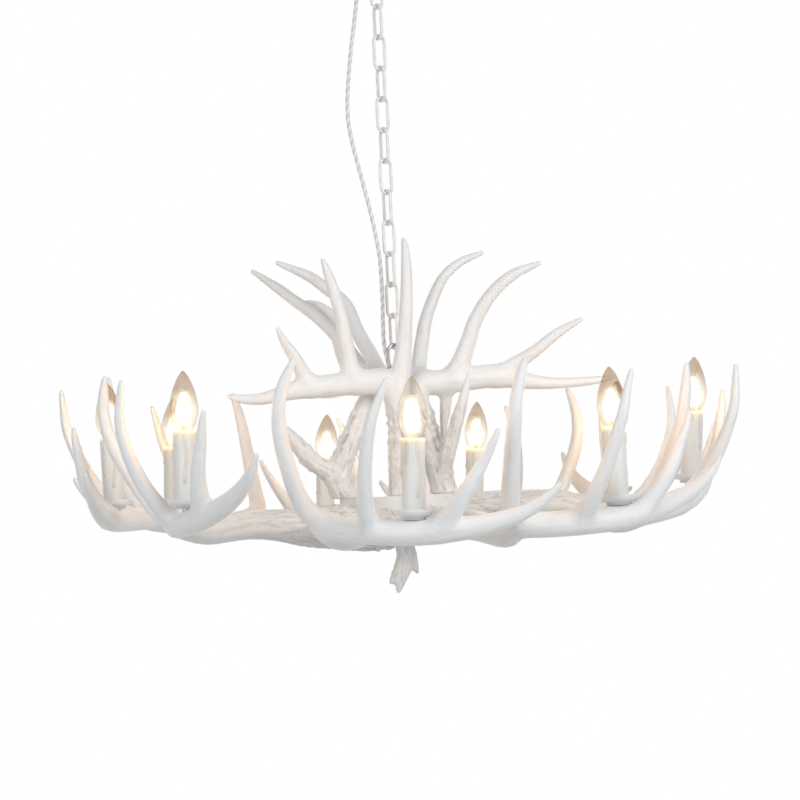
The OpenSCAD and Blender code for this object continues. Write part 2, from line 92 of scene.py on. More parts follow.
# One value for each ring antler: its lamp's angle on the ring, how far it is turned, tilted, moved
# outward and lifted, its root's height, its lamp's shift along the ring and its candle's lean
RING_ANGLE = [2, 40, 80, 127, 163, 197, 239, 280, 320]
TURN = [1.5, -8.7, -5.5, -2, -2.5, 5.3, -0.9, -1.9, 1.3]
TILT = [-7.2, -0.2, 9.4, 4.7, -0.9, -5.4, 0.2, -2.9, 1.5]
OUT = [0, 10, -3, 4, -4, -8, 0, -5, 4]
LIFT = [-1, 3, 24, 12, -2, -10, 19, 29, 25]
ROOT_H = [-22, -22, -4, -20, -24, -24, -12, -45, -14]
LAMP_SHIFT = [-1, 1, 0, 0, 3.5, 8, -4, 0, -9]
LEAN = [2, -1, 4.5, 3, 4.5, 4, 3, -0.7, 1.5]

# One moulding serves all nine ring antlers. A point is its way round the ring from the lamp, its
# way outward, its height over the rim of the lamp's pan, and the radius there.
BEAM = [
    (-88, -105, -39, 17.5), (-103, -72, -30, 16.5), (-78, -46, -31, 15.5), (-45, -20, -30, 15.5),
    (0, 0, -27, 15.5), (40, 12, -21, 14.5), (80, 22, -12, 12.5), (118, 32, 3, 9.5),
    (146, 40, 22, 6.5), (162, 45, 41, 3.4),
]
TINE_LONG = [
    (-103, -71, -26, 14.5), (-128, -63, -11, 12.5), (-142, -51, 12, 10.8), (-152, -40, 37, 10),
    (-161, -29, 64, 9.5), (-167, -20, 92, 8.7), (-167, -15, 119, 7.8), (-162, -12, 142, 6.4),
    (-155, -10, 161, 3.8),
]
TINE_MIDDLE = [
    (-50, -18, -26, 13), (-57, 6, -1, 10.2), (-61, 32, 38, 8.6), (-59, 53, 89, 7),
    (-51, 58, 123, 5.2), (-44, 60, 145, 3.2),
]
TINE_SHORT = [
    (29, 11, -20, 13), (44, 27, 2, 10.8), (58, 40, 29, 9), (72, 46, 58, 7), (82, 51, 82, 4.9),
    (87, 52, 97, 3.1),
]
# A point of the crown is X, Y, its height over CROWN_Z and its radius. The finial's heights are
# over DRUM_BOTTOM.
CROWN = {
    "left": [
        [
            (-2, -31, -154, 18), (-2, -31, -140, 16), (-2, -32, -112, 14), (0, -32, -60, 14),
            (0, -31, -22, 16.5), (-14, -32, 2, 18), (-40, -36, 4, 17), (-72, -42, 3, 15.5),
            (-126, -51, -1, 13.5), (-152, -56, -6, 10.5), (-180, -60, -12, 7.8),
            (-205, -63, -11, 6.2), (-222, -65, -7, 3.4),
        ],
        [
            (2, -32, -4, 15), (9, -38, 26, 12.5), (15, -45, 70, 9.8), (19, -50, 110, 8.6),
            (21, -52, 150, 7.3), (21, -51, 176, 5.6), (19.5, -50, 190, 3.4),
        ],
        [
            (-52, -39, 4, 14), (-61, -43, 26, 12), (-65, -52, 62, 9.8), (-70, -58, 96, 8.8),
            (-79, -63, 135, 7.3), (-85, -65, 155, 5.4), (-89, -66, 167, 3.2),
        ],
        [
            (-112, -49, 1, 12), (-122, -55, 16, 10.5), (-133, -67, 40, 8.3), (-145, -78, 61, 6),
            (-152, -85, 77, 3.2),
        ],
    ],
    "right": [
        [
            (60, 8, -154, 19), (56, 7, -140, 17), (50, 5, -112, 16), (37, 2, -62, 16.5),
            (25, 2, -20, 18), (32, 5, 1, 18), (52, 9, 1, 17), (76, 14, 3, 16.5),
            (128, 24, 7, 16), (160, 31, 3, 13.5),
            (188, 38, -3, 10), (220, 45, -6, 7.6), (268, 55, -5, 6), (300, 60, -1, 3),
        ],
        [
            (31, 12, 10, 12), (33, 28, 32, 10.4), (43, 48, 84, 9.2), (57, 59, 121, 8.2),
            (73, 65, 150, 7.2), (97, 70, 170, 6), (128, 75, 182, 3.4),
        ],
        [
            (78, 14, 8, 15), (89, 13, 28, 13), (100, 10, 54, 11), (112, 5, 84, 10),
            (136, 0, 118, 8.8), (166, 0, 142, 7.6), (201, 0, 155, 3.6),
        ],
        [
            (138, 27, 6, 13), (158, 26, 19, 10.5), (190, 20, 37, 8.4), (222, 15, 60, 7),
            (255, 10, 77, 3.2),
        ],
        [
            (55, 4, -132, 12), (61, -13, -108, 10.5), (67, -24, -88, 9.6), (76, -31, -62, 8.6),
            (86, -36, -32, 7), (98, -40, 9, 3),
        ],
        [
            (67, 14, -6, 9.5), (66, 18, -24, 8), (63, 20, -50, 5.8), (60, 20, -77, 2.8),
        ],
    ],
    "rear": [
        [
            (-72, -16, -154, 19), (-80, -18, -140, 18), (-85, -20, -118, 16.5), (-73, -20, -88, 15),
            (-61, -16, -65, 14.5), (-49, -10, -39, 14.5), (-38, 0, -19, 15), (-26, 12, 0, 16),
            (-17, 27, 8, 16), (-30, 50, 14, 15), (-48, 82, 14, 14), (-72, 124, 8, 12),
            (-98, 166, 4, 9.5), (-120, 204, 6, 6.5), (-132, 226, 12, 3),
        ],
        [
            (-22, 32, 12, 13), (-31, 50, 40, 11), (-50, 74, 80, 10), (-66, 94, 122, 9.4),
            (-94, 111, 149, 8.4), (-118, 122, 168, 7.4), (-160, 130, 189, 3.6),
        ],
        [
            (-38, 64, 16, 13), (-54, 80, 38, 11.5), (-77, 105, 75, 10), (-108, 134, 110, 9),
            (-139, 155, 136, 8), (-166, 168, 159, 7), (-199, 180, 184, 3.6),
        ],
        [
            (-60, 103, 12, 11), (-76, 122, 60, 9.5), (-87, 150, 106, 9), (-104, 163, 125, 8.5),
            (-123, 178, 134, 5),
        ],
        [
            (-80, -18, -124, 14), (-102, -25, -110, 12.5), (-120, -30, -95, 11.5),
            (-134, -34, -78, 10.5), (-146, -37, -62, 7.5), (-157, -40, -47, 3.5),
        ],
    ],
}
FINIAL = [
    [
        (0, 0, -1, 11.5), (0, 0, -20, 11.5), (1, -1, -32, 11), (-3, -3, -48, 9.5),
        (-9, -6, -64, 6.5), (-12, -8, -78, 2),
    ],
    [
        (-3, -2, -40, 8), (-12, -5, -53, 6.2), (-22, -8, -64, 2.2),
    ],
    [
        (3, 3, -22, 8), (9, 6, -38, 6.5), (15, 9, -54, 2),
    ],
]
# The flex runs from the canopy's grommet to the collar at the crown.
CORD_ROUTE = [
    (-25, 0, -12), (-25, 0, -40), (-26, -1, -70), (-31, -3, -105), (-37, -4, -140), (-42, -6, -175),
    (-46, -7, -210), (-47, -8, -244), (-42, -9, -280), (-34, -10, -318), (-26, -11, -356),
    (-19, -12, -394), (-14, -12, -434), (-13, -12, -480), (-14, -12, -520), (-14, -13, -548),
    (-12, -14, -564), (-9.5, -11, -578), (-9, -8, -587), (-9, -8, -597),
]

# Curves and noise


def smooth(points, steps):
    """A Catmull-Rom curve through the points, each with its radius."""
    p = np.array(points, float)
    n = len(p)
    out = []
    for i in range(n - 1):
        a, b, c, d = p[max(i - 1, 0)], p[i], p[i + 1], p[min(i + 2, n - 1)]
        for k in range(steps):
            t = k / steps
            out.append(0.5 * (2 * b + (c - a) * t + (2 * a - 5 * b + 4 * c - d) * t * t
                              + (3 * b - a - 3 * c + d) * t ** 3))
    out.append(p[-1])
    return np.array(out)


NOISE_SIZE = 32
NOISE_SEED = 11
noise_table = np.random.RandomState(NOISE_SEED).rand(NOISE_SIZE, NOISE_SIZE, NOISE_SIZE)
CORNERS = np.array([(n & 1, n >> 1 & 1, n >> 2 & 1) for n in range(8)])


def mixed_corners(table, cell, share):
    """A table's values at each cell's eight corners, mixed by the share of the way across it."""
    total = np.zeros(len(cell))
    for corner in CORNERS:
        i = (cell + corner) % table.shape
        weight = np.prod(np.where(corner == 1, share, 1 - share), axis=1)
        total += weight * table[i[:, 0], i[:, 1], i[:, 2]]
    return total


def noise(p):
    """Smooth value noise from 0 to 1 at each row of p."""
    cell = np.floor(p).astype(int)
    f = p - cell
    return mixed_corners(noise_table, cell, f * f * (3 - 2 * f))


def carried_sides(path):
    """Headings along a path, and a side direction carried along it without a twist."""
    heading = np.gradient(path, axis=0)
    heading /= np.linalg.norm(heading, axis=1)[:, None]
    side = np.zeros_like(path)
    first = np.cross(heading[0], (0, 0, 1) if abs(heading[0][2]) < 0.8 else (0, 1, 0))
    side[0] = first / np.linalg.norm(first)
    for i in range(1, len(path)):
        s = side[i - 1] - heading[i] * (side[i - 1] @ heading[i])
        side[i] = s / np.linalg.norm(s)
    return heading, side


def turned(p, angle):
    """Points turned about Z."""
    c, s = math.cos(angle), math.sin(angle)
    return p @ np.array([[c, s, 0], [-s, c, 0], [0, 0, 1]])


# Meshes


def mesh_object(name, verts, faces, body, material, replaced, attributes=None):
    """A piece made of verts in millimetres, riding a body."""
    mesh = bpy.data.meshes.new(name)
    mesh.from_pydata((np.asarray(verts) * MM).tolist(), [], [list(f) for f in faces])
    mesh.validate()
    mesh.shade_smooth()
    mesh.materials.append(material)
    for key, values in (attributes or {}).items():
        values = np.asarray(values, np.float32)
        if values.ndim == 1:
            made = mesh.attributes.new(key, "FLOAT", "POINT")
            made.data.foreach_set("value", values)
        else:
            made = mesh.attributes.new(key, "FLOAT_VECTOR", "POINT")
            made.data.foreach_set("vector", values.reshape(-1))
    obj = bpy.data.objects.new(name, mesh)
    scene.collection.objects.link(obj)
    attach(obj, body)
    if replaced:
        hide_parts(*replaced)
    return obj


def lathe(profile, segments):
    """Turns (radius, height) points about Z. A point at radius 0 closes the end."""
    verts, faces, rings = [], [], []
    for r, z in profile:
        if r < 1e-6:
            rings.append([len(verts)] * segments)
            verts.append((0, 0, z))
            continue
        rings.append(list(range(len(verts), len(verts) + segments)))
        for k in range(segments):
            a = 2 * math.pi * k / segments
            verts.append((r * math.cos(a), r * math.sin(a), z))
    for a, b in zip(rings, rings[1:]):
        for k in range(segments):
            n = (k + 1) % segments
            quad = [a[k], a[n], b[n], b[k]]
            quad = [v for i, v in enumerate(quad) if v not in quad[:i]]
            if len(quad) > 2:
                faces.append(quad)
    return np.array(verts, float), faces


def ring_faces(rings, sides, closed=False, turned_over=False):
    """Quads between neighbouring rings of vertices."""
    faces = []
    for i in range(rings if closed else rings - 1):
        j = (i + 1) % rings
        for k in range(sides):
            m = (k + 1) % sides
            a, b, c, d = i * sides + k, i * sides + m, j * sides + m, j * sides + k
            faces.append((a, d, c, b) if turned_over else (a, b, c, d))
    return faces


def ring_verts(path, radius, side, up, sides):
    """Rings round a path, with a radius for each point of it or one for each vertex."""
    if radius.ndim == 1:
        radius = np.repeat(radius[:, None], sides, axis=1)
    a = 2 * math.pi * np.arange(sides) / sides
    outward = (np.cos(a)[None, :, None] * side[:, None, :]
               + np.sin(a)[None, :, None] * up[:, None, :])
    return (path[:, None, :] + radius[:, :, None] * outward).reshape(-1, 3)


def sweep(path, radius, sides):
    """A round tube along an open path, closed at its ends."""
    heading, side = carried_sides(path)
    verts = ring_verts(path, radius, side, np.cross(heading, side), sides)
    faces = ring_faces(len(path), sides)
    faces.append(tuple(reversed(range(sides))))
    faces.append(tuple(range((len(path) - 1) * sides, len(path) * sides)))
    return verts, faces


# The antlers' surface

VOXEL = 2.3  # the grid's pitch
BLEND = 9.0  # how widely two branches flow into each other at a fork
FAR = 40.0  # what the grid holds away from a branch
REACH = 18  # how far round a branch the grid is worked out
CUT_EDGE = 1.2  # how near to a cut the surface stays smooth
NOT_CLOSER = 1e9
ROWS_AT_ONCE = 4000
# The streaks' scale along a branch, and what sets branches and antlers apart in their streaks
GRAIN_LENGTHWISE = 0.12
GRAIN_PER_SPINE = 4.7
GRAIN_PER_ANTLER = 9.0
# How fast the grooves turn about a branch, and their scale across and along it
GROOVE_TWIST = 0.004
GROOVE_ACROSS = 0.19
GROOVE_ALONG = 0.011


def far_field(spine, lo, shape):
    """Distance from a tapered body along one spine, on a grid that starts at lo."""
    field = np.full(shape, FAR)
    for a, b in zip(spine[:-1], spine[1:]):
        reach = max(a[3], b[3]) + REACH
        low = np.floor((np.minimum(a, b)[:3] - reach - lo) / VOXEL).astype(int)
        high = np.ceil((np.maximum(a, b)[:3] + reach - lo) / VOXEL).astype(int)
        low, high = np.maximum(low, 0), np.minimum(high, shape)
        if (high <= low).any():
            continue
        d = (b - a)[:3]
        rel = [lo[k] + VOXEL * np.arange(low[k], high[k]) - a[k] for k in range(3)]
        x, y, z = rel[0][:, None, None], rel[1][None, :, None], rel[2][None, None, :]
        t = np.clip((x * d[0] + y * d[1] + z * d[2]) / (d @ d), 0, 1)
        sq = (x - t * d[0]) ** 2 + (y - t * d[1]) ** 2 + (z - t * d[2]) ** 2
        dist = np.sqrt(sq) - (a[3] + t * (b[3] - a[3]))
        window = field[low[0]:high[0], low[1]:high[1], low[2]:high[2]]
        np.minimum(window, dist, out=window)
    return field


def surface(field, lo):
    """Vertices and quads on the zero level of a field, by surface nets."""
    inside = field < 0
    nx, ny, nz = field.shape
    cells = (nx - 1, ny - 1, nz - 1)
    count = np.zeros(cells, np.int8)
    corners = [(i, j, k) for i in (0, 1) for j in (0, 1) for k in (0, 1)]
    for i, j, k in corners:
        count += inside[i:nx - 1 + i, j:ny - 1 + j, k:nz - 1 + k]
    mixed = (count > 0) & (count < 8)
    where = np.argwhere(mixed)
    index = np.full(cells, -1, int)
    index[mixed] = np.arange(len(where))
    total = np.zeros((len(where), 3))
    hits = np.zeros(len(where))
    for corner in corners:
        for axis in range(3):
            if corner[axis]:
                continue
            a = where + corner
            b = a.copy()
            b[:, axis] += 1
            fa = field[a[:, 0], a[:, 1], a[:, 2]]
            fb = field[b[:, 0], b[:, 1], b[:, 2]]
            crossing = (fa < 0) != (fb < 0)
            t = np.where(crossing, fa / np.where(crossing, fa - fb, 1), 0)
            p = a.astype(float)
            p[:, axis] += t
            total[crossing] += p[crossing]
            hits[crossing] += 1
    verts = lo + VOXEL * total / hits[:, None]
    quads = []
    for axis in range(3):
        u, v = (axis + 1) % 3, (axis + 2) % 3
        first = [slice(None)] * 3
        second = [slice(None)] * 3
        first[axis], second[axis] = slice(0, -1), slice(1, None)
        change = inside[tuple(first)] != inside[tuple(second)]
        e = np.argwhere(change)
        e = e[(e[:, u] > 0) & (e[:, v] > 0)]
        e = e[(e[:, u] < field.shape[u] - 1) & (e[:, v] < field.shape[v] - 1)]
        starts = inside[e[:, 0], e[:, 1], e[:, 2]]
        ring = []
        for du, dv in ((0, 0), (-1, 0), (-1, -1), (0, -1)):
            c = e.copy()
            c[:, u] += du
            c[:, v] += dv
            ring.append(index[c[:, 0], c[:, 1], c[:, 2]])
        q = np.stack(ring, axis=1)
        q[~starts] = q[~starts][:, ::-1]
        quads.append(q)
    quads = np.concatenate(quads)
    return verts, quads[(quads >= 0).all(axis=1)]


def sample(field, lo, p):
    """The field at points p, between its grid values."""
    g = (p - lo) / VOXEL
    cell = np.clip(np.floor(g).astype(int), 0, np.array(field.shape) - 2)
    return mixed_corners(field, cell, g - cell)


def slope(field, lo, p):
    """The direction in which the field rises most at points p."""
    step = 0.6 * VOXEL
    rise = [sample(field, lo, p + step * e) - sample(field, lo, p - step * e) for e in np.eye(3)]
    g = np.stack(rise, axis=1)
    return g / np.maximum(np.linalg.norm(g, axis=1)[:, None], 1e-9)


def grain_of(p, spines):
    """For each point its distance along the nearest spine, its direction round it, that spine's
    radius there, and which spine it is."""
    best = np.full(len(p), NOT_CLOSER)
    along = np.zeros(len(p))
    around = np.zeros((len(p), 2))
    radius = np.ones(len(p))
    which = np.zeros(len(p), int)
    for n, spine in enumerate(spines):
        path, r = spine[:, :3], spine[:, 3]
        heading, side = carried_sides(path)
        up = np.cross(heading, side)
        s = np.concatenate([[0], np.cumsum(np.linalg.norm(np.diff(path, axis=0), axis=1))])
        for i in range(0, len(p), ROWS_AT_ONCE):
            q = p[i:i + ROWS_AT_ONCE]
            d = np.linalg.norm(q[:, None, :] - path[None], axis=2) - r[None]
            k = d.argmin(axis=1)
            dist = d[np.arange(len(q)), k]
            better = dist < best[i:i + ROWS_AT_ONCE]
            rel = q - path[k]
            ahead = (rel * heading[k]).sum(axis=1)
            x, y = (rel * side[k]).sum(axis=1), (rel * up[k]).sum(axis=1)
            size = np.maximum(np.hypot(x, y), 1e-6)
            rows = np.arange(i, i + len(q))[better]
            best[rows] = dist[better]
            along[rows] = (s[k] + ahead)[better]
            around[rows, 0] = (x / size)[better]
            around[rows, 1] = (y / size)[better]
            radius[rows] = r[k][better]
            which[rows] = n
    return along, around, radius, which


def cut_frame(x, y, z, place, lean):
    """Coordinates in the frame of a cylinder that stands at a place and leans toward +X."""
    a = math.radians(lean)
    x, z = x - place[0], z - place[2]
    return x * math.cos(a) - z * math.sin(a), y - place[1], x * math.sin(a) + z * math.cos(a)


def antler_mesh(spines, cuts, roughness, seed):
    """One cast antler: smooth bodies along the spines, blended at the forks, cut back from the
    given cylinders, then grooved and beaded by roughness. A cylinder is its foot's place, its lean,
    the heights of its ends over that place and its radius."""
    spines = [smooth(s, 4) for s in spines]
    allp = np.concatenate(spines)
    margin = 4 * VOXEL
    lo = (allp[:, :3] - allp[:, 3:]).min(axis=0) - margin
    hi = (allp[:, :3] + allp[:, 3:]).max(axis=0) + margin
    shape = tuple(np.ceil((hi - lo) / VOXEL).astype(int) + 1)
    field = far_field(spines[0], lo, shape)
    for s in spines[1:]:
        one = far_field(s, lo, shape)
        h = np.clip(0.5 + 0.5 * (field - one) / BLEND, 0, 1)
        field = field * (1 - h) + one * h - BLEND * h * (1 - h)
    grid = [lo[k] + VOXEL * np.arange(shape[k]) for k in range(3)]
    grid = grid[0][:, None, None], grid[1][None, :, None], grid[2][None, None, :]
    for place, lean, low, high, r in cuts:
        x, y, z = cut_frame(*grid, place, lean)
        field = np.maximum(field, np.minimum(r - np.hypot(x, y), np.minimum(z - low, high - z)))
    verts, quads = surface(field, lo)
    for _ in range(2):
        n = slope(field, lo, verts)
        verts = verts - n * np.clip(sample(field, lo, verts), -1, 1)[:, None]
    n = slope(field, lo, verts)
    along, around, radius, which = grain_of(verts, spines)
    on_cut = np.zeros(len(verts), bool)
    for place, lean, low, high, r in cuts:
        x, y, z = cut_frame(verts[:, 0], verts[:, 1], verts[:, 2], place, lean)
        on_cut |= (np.hypot(x, y) < r + CUT_EDGE) & (z > low - CUT_EDGE) & (z < high + CUT_EDGE)
    lift, bark, furrow_shade_share = roughness(verts, along, around, radius, which, seed)
    lift[on_cut] = 0
    verts = verts + n * lift[:, None]
    lengthwise = along * GRAIN_LENGTHWISE + GRAIN_PER_SPINE * which + GRAIN_PER_ANTLER * seed
    grain = np.stack([around[:, 0] * radius, around[:, 1] * radius, lengthwise], axis=1)
    # How high or low the surface sits; the material paints shade into its low places.
    relief = np.clip(0.5 + 0.25 * lift, 0, 1)
    return verts, quads, {"grain": grain, "relief": relief, "bark": bark, "furrow_shade_share": furrow_shade_share}


def grooves(around, radius, along, seed):
    """Ridged noise that runs lengthwise with a slow twist, from -1 in a groove to 1 on a ridge."""
    c, s = np.cos(along * GROOVE_TWIST), np.sin(along * GROOVE_TWIST)
    x, y = around[:, 0] * c - around[:, 1] * s, around[:, 0] * s + around[:, 1] * c
    p = np.stack([x * radius * GROOVE_ACROSS + 7.3 * seed, y * radius * GROOVE_ACROSS + 3.1 * seed,
                  along * GROOVE_ALONG], axis=1)
    a = 1 - 2 * np.abs(2 * noise(p) - 1)
    b = 1 - 2 * np.abs(2 * noise(p * np.array([2.1, 2.1, 1.6]) + 13.7) - 1)
    return 0.62 * a + 0.38 * b


def beads(p, seed):
    """Rounded knobs, as on the burr of an antler."""
    a = noise(p * 0.16 + seed * 5.1)
    b = noise(p * 0.33 + seed * 2.3 + 9)
    return (np.clip(a - 0.45, 0, 1) * 2.2) ** 1.3 + 0.5 * (b - 0.5)


def trunk(i):
    """Centres and radii of ring antler i's trunk, from the drum out to where its beam starts."""
    a = math.radians(RING_ANGLE[i] - ROOT_LAG)
    h = ROOT_H[i]
    if i == LOW_ROOT:
        reach = [(20, h, 11), (60, h, 11.5), (130, h + 12, 15.5), (176, -20, 17), (235, -14, 17.5)]
    else:
        reach = [(DRUM_R - 5, h, 19.5), (DRUM_R + 6, h, 20), (DRUM_R + 18, h, 17.5), (160, h, 18.5),
                 (240, (h + LIFT[i] - 36) / 2, 18)]
    return [(r * math.sin(a), -r * math.cos(a), RING_Z + z, radius) for r, z, radius in reach]


def on_ring(i, q):
    """A point of the moulding, where antler i has it on the ring."""
    a, b, g = (math.radians(v) for v in (TILT[i], TURN[i], RING_ANGLE[i]))
    t1 = q[0] * math.cos(a) - q[2] * math.sin(a)
    h = q[0] * math.sin(a) + q[2] * math.cos(a)
    t = t1 * math.cos(b) - q[1] * math.sin(b)
    r = LAMP_CIRCLE_R + OUT[i] + t1 * math.sin(b) + q[1] * math.cos(b)
    x, y = r * math.sin(g) + t * math.cos(g), -r * math.cos(g) + t * math.sin(g)
    return (x, y, RING_Z + LIFT[i] + h, q[3])


def lamp_place(i):
    """The middle of lamp i's pan, at its rim's height."""
    a = math.radians(RING_ANGLE[i])
    r = LAMP_CIRCLE_R + OUT[i]
    x = r * math.sin(a) + LAMP_SHIFT[i] * math.cos(a)
    y = -r * math.cos(a) + LAMP_SHIFT[i] * math.sin(a)
    return np.array([x, y, RING_Z + LIFT[i]])


def at_lamp(i, p):
    """Stands points of a lamp on antler i, leaning as its candle does."""
    a = math.radians(LEAN[i])
    c, s = math.cos(a), math.sin(a)
    return np.asarray(p, float) @ np.array([[c, 0, -s], [0, 1, 0], [s, 0, c]]) + lamp_place(i)


def ring_roughness(p, along, around, radius, which, seed):
    """Deep grooves on the trunk that fade out along the beam, and a burr round the root."""
    trunk_part = which == 0
    bark = np.where(trunk_part, np.clip((250 - along) / 110, 0, 1), 0)
    # The share of painted furrow shade: strongest near the root, gone further out along the trunk.
    furrow_shade_share = np.where(trunk_part, 0.8 * np.clip(1.15 - along / 230, 0, 1), 0)
    fade_on_trunk = np.clip(1.25 - along / 280, 0.14, 1)
    fade_on_tine = np.clip(0.45 - along / 130, 0.05, 1)
    fade = np.where(trunk_part, fade_on_trunk, fade_on_tine)
    g = grooves(around, radius, along, seed)
    burr = np.where(trunk_part, np.exp(-((along - 12) / 24) ** 2), 0)
    return 2.2 * fade * (g - 0.1) + 3.4 * burr * beads(p, seed), bark, furrow_shade_share


def crown_roughness(p, along, around, radius, which, seed):
    """Grooved and knobbly on the stem and on the low branch, smooth on the tines."""
    bark = np.clip((CROWN_Z - 14 - p[:, 2]) / 26, 0, 1)
    fade = np.maximum(bark, np.clip(0.5 - along / 160, 0.05, 1))
    g = grooves(around, radius, along, seed)
    knobs = bark * np.clip((radius - 5) / 6, 0, 1)
    return 1.5 * fade * (g - 0.1) + 2.4 * knobs * (beads(p, seed) - 0.25), bark, 0.3 * bark


def finial_roughness(p, along, around, radius, which, seed):
    """Grooved all over."""
    return 1.5 * grooves(around, radius, along, seed), np.full(len(p), 0.0), np.full(len(p), 0.5)


# Materials

WHITE, BLACK = (1, 1, 1), (0, 0, 0)


def new_material(name):
    m = bpy.data.materials.new(name)
    m.use_nodes = True
    nodes, links = m.node_tree.nodes, m.node_tree.links
    nodes.clear()
    return m, nodes, links, nodes.new("ShaderNodeOutputMaterial").inputs["Surface"]


def principled(nodes, **values):
    """A Principled shader with the sockets that values names, spaces written as underscores."""
    b = nodes.new("ShaderNodeBsdfPrincipled")
    for key, value in values.items():
        b.inputs[key.replace("_", " ")].default_value = value
    return b


def attribute(nodes, name, output="Fac"):
    a = nodes.new("ShaderNodeAttribute")
    a.attribute_name = name
    return a.outputs[output]


def math_node(nodes, links, operation, *inputs):
    """A Math node on numbers and on other nodes' outputs."""
    m = nodes.new("ShaderNodeMath")
    m.operation = operation
    for socket, value in zip(m.inputs, inputs):
        if isinstance(value, float):
            socket.default_value = value
        else:
            links.new(value, socket)
    return m.outputs[0]


def map_range(nodes, links, source, **limits):
    """A value carried from one range to another."""
    r = nodes.new("ShaderNodeMapRange")
    for key, value in limits.items():
        r.inputs[key.replace("_", " ")].default_value = value
    links.new(source, r.inputs["Value"])
    return r.outputs[0]


def ramp(nodes, links, source, stops):
    """The colour that a value has between the given stops."""
    r = nodes.new("ShaderNodeValToRGB")
    while len(r.color_ramp.elements) < len(stops):
        r.color_ramp.elements.new(0.5)
    for e, (pos, colour) in zip(r.color_ramp.elements, stops):
        e.position = pos
        e.color = (*colour, 1)
    links.new(source, r.inputs[0])
    return r.outputs["Color"]


def noise_node(nodes, links, source, scale, detail=3.0, roughness=0.55):
    n = nodes.new("ShaderNodeTexNoise")
    n.inputs["Scale"].default_value = scale
    n.inputs["Detail"].default_value = detail
    n.inputs["Roughness"].default_value = roughness
    links.new(source, n.inputs["Vector"])
    return n.outputs["Fac"]


def object_noise(nodes, links, scale, detail=3.0, height_share=None):
    """Noise fixed to the object, drawn out upward where only a share of the height counts."""
    where = nodes.new("ShaderNodeTexCoord").outputs["Object"]
    if height_share:
        stretched = nodes.new("ShaderNodeMapping")
        stretched.inputs["Scale"].default_value = (1, 1, height_share)
        links.new(where, stretched.inputs["Vector"])
        where = stretched.outputs["Vector"]
    return noise_node(nodes, links, where, scale, detail)


def add_bump(nodes, links, shader, height, strength, distance):
    b = nodes.new("ShaderNodeBump")
    b.inputs["Strength"].default_value = strength
    b.inputs["Distance"].default_value = distance
    links.new(height, b.inputs["Height"])
    links.new(b.outputs["Normal"], shader.inputs["Normal"])


def multiplied(nodes, links, a, b, share=None):
    """The product of two colours, or a part of the way from the first one to it."""
    m = nodes.new("ShaderNodeMix")
    m.data_type = "RGBA"
    m.blend_type = "MULTIPLY"
    m.inputs["Factor"].default_value = 1.0
    if share is not None:
        links.new(share, m.inputs["Factor"])
    links.new(a, m.inputs["A"])
    links.new(b, m.inputs["B"])
    return m.outputs["Result"]


def mixed_shader(nodes, links, share, first, second):
    mix = nodes.new("ShaderNodeMixShader")
    for source, socket in zip((share, first.outputs[0], second.outputs[0]), mix.inputs):
        links.new(source, socket)
    return mix.outputs[0]


def antler_material():
    """Cast resin painted white: faint streaks along the grain and greyer bark, with painted shade
    darkening its hollows and dark hairlines painted along its furrows as the shade in them."""
    m, nodes, links, out = new_material("antler_resin")
    grain = attribute(nodes, "grain", "Vector")
    fine = noise_node(nodes, links, grain, 0.55, 4.0)
    wide = math_node(nodes, links, "MULTIPLY", noise_node(nodes, links, grain, 0.16), 0.4)
    mixed = math_node(nodes, links, "MULTIPLY_ADD", fine, 0.6, wide)
    streak = ramp(nodes, links, mixed, [
        (0.32, (0.78, 0.78, 0.79)), (0.46, (0.87, 0.87, 0.875)), (0.70, (0.92, 0.92, 0.92))])
    # Painted shade: the lower the relief, the darker the paint in the hollows.
    painted_hollow_shade = ramp(nodes, links, attribute(nodes, "relief"), [
        (0.04, (0.50, 0.48, 0.46)), (0.24, (0.78, 0.77, 0.76)), (0.42, WHITE)])
    bark = ramp(nodes, links, attribute(nodes, "bark"), [(0.0, WHITE), (1.0, (0.91, 0.895, 0.88))])
    painted = multiplied(nodes, links, streak, multiplied(nodes, links, painted_hollow_shade, bark))
    # Painted shade: dark hairlines along the grain, standing for the shade down narrow furrows, as
    # strong as the mesh's share asks.
    veins = noise_node(nodes, links, grain, 0.15, 2.5, 0.6)
    line = math_node(nodes, links, "ABSOLUTE", math_node(nodes, links, "SUBTRACT", veins, 0.5))
    painted_furrow_shade = ramp(nodes, links, line, [
        (0.0, (0.50, 0.47, 0.44)), (0.012, (0.72, 0.69, 0.66)), (0.038, WHITE)])
    lined = multiplied(nodes, links, painted, painted_furrow_shade, attribute(nodes, "furrow_shade_share"))
    b = principled(nodes, Roughness=0.42, IOR=1.48)
    links.new(lined, b.inputs["Base Color"])
    add_bump(nodes, links, b, mixed, 0.4, 0.0012)
    links.new(b.outputs["BSDF"], out)
    return m


def speckled(name, low, high, roughness, scale, metallic=0.0, bump=0.0):
    """A surface whose colour wanders a little between two tones."""
    m, nodes, links, out = new_material(name)
    wander = object_noise(nodes, links, scale)
    b = principled(nodes, Roughness=roughness, Metallic=metallic)
    links.new(ramp(nodes, links, wander, [(0.35, low), (0.65, high)]), b.inputs["Base Color"])
    if bump:
        add_bump(nodes, links, b, wander, bump, 0.0004)
    links.new(b.outputs["BSDF"], out)
    return m


